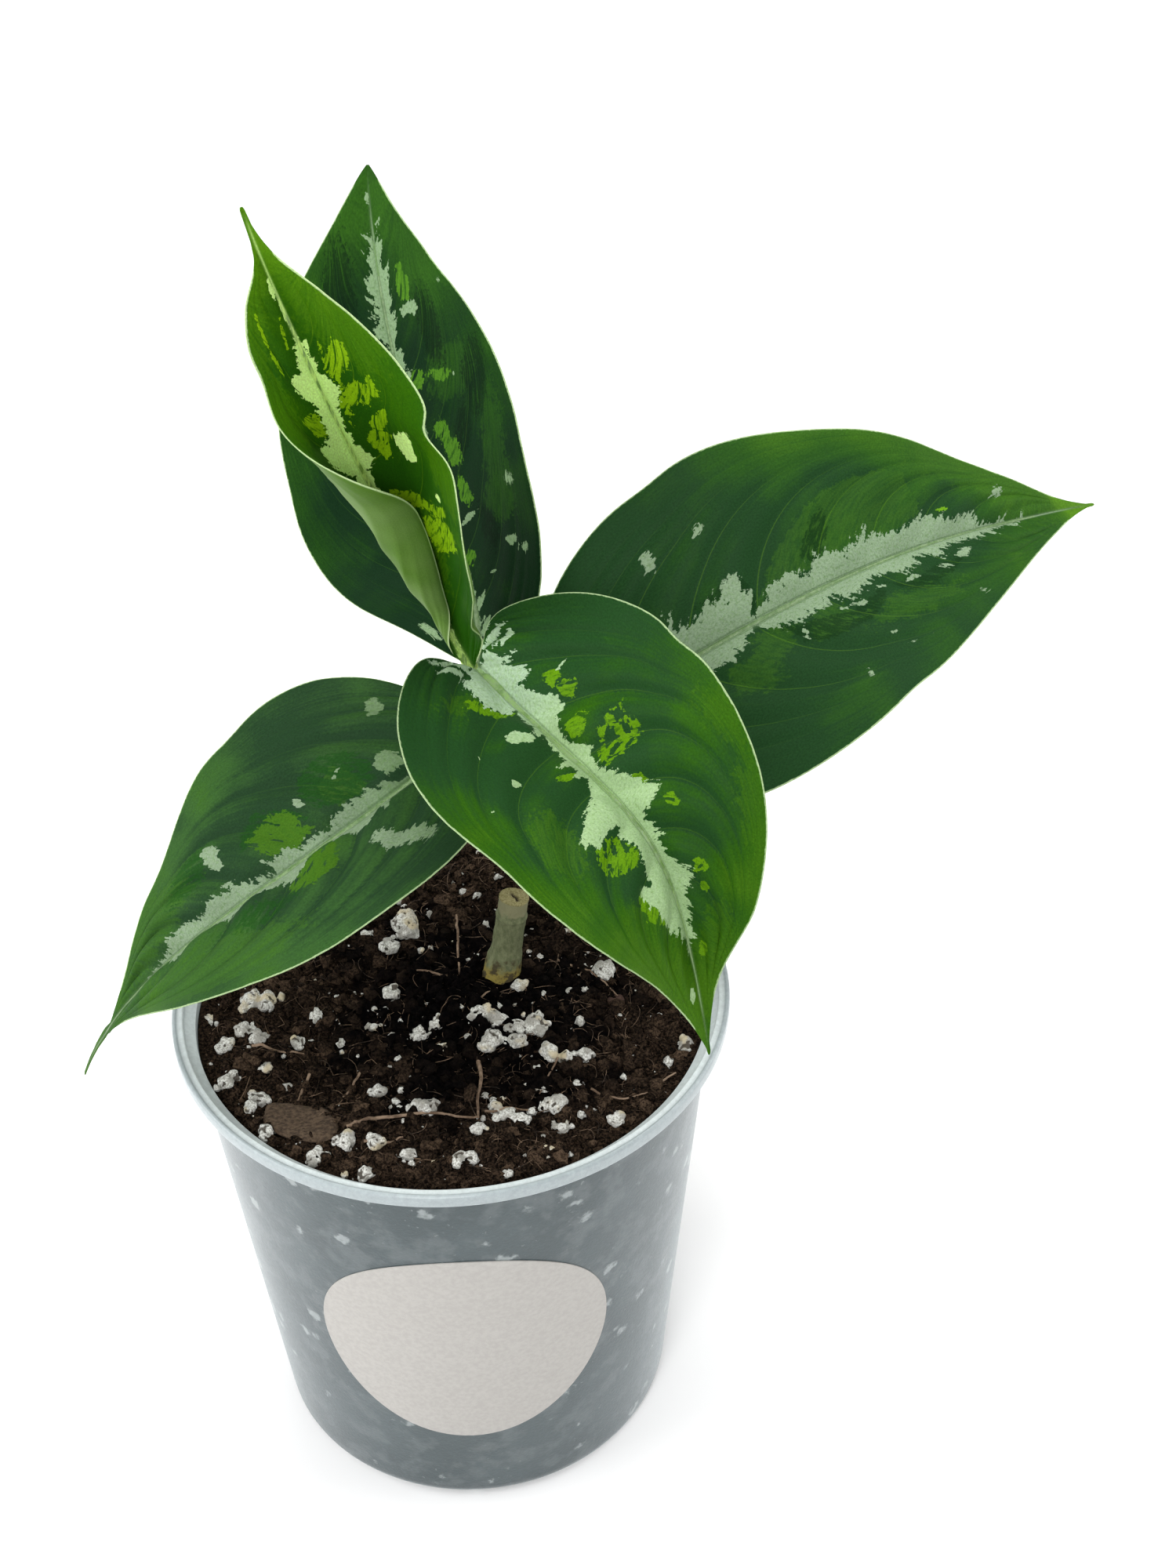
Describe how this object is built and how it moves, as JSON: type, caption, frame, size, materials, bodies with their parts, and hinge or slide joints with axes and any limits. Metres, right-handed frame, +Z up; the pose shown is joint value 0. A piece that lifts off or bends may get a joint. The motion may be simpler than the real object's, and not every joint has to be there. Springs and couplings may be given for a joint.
{
  "type": "potted tricolor aglaonema pictum",
  "caption": "Small tropical foliage plant with broad pointed leaves on a short cane, rooted in soil in a round tapered nursery pot.",
  "frame": {"origin": "centre of the pot's flat base, on the surface that it stands on", "axes": "+Z up, -Y towards the front, where the label is, +X to the right seen from the front"},
  "size_m": [0.2308, 0.1628, 0.286],
  "materials": {
    "pot": "milky translucent satin",
    "label": "uncoated matte",
    "soil": "loose fibrous mix with white perlite",
    "cane": "smooth green bark",
    "stub": "dry pale bark",
    "leaf": "satin, dark green with silver and lime patches",
    "young_leaf": "satin, lime green with silver patches"
  },
  "bodies": {
    "root": {"pot": "pot", "label": "label", "soil": "soil", "cane": "cane", "cut_stub": "stub", "leaf_front": "leaf", "leaf_right": "leaf", "leaf_back": "leaf", "leaf_left": "leaf", "leaf_new": "young_leaf"}
  },
  "joints": []
}
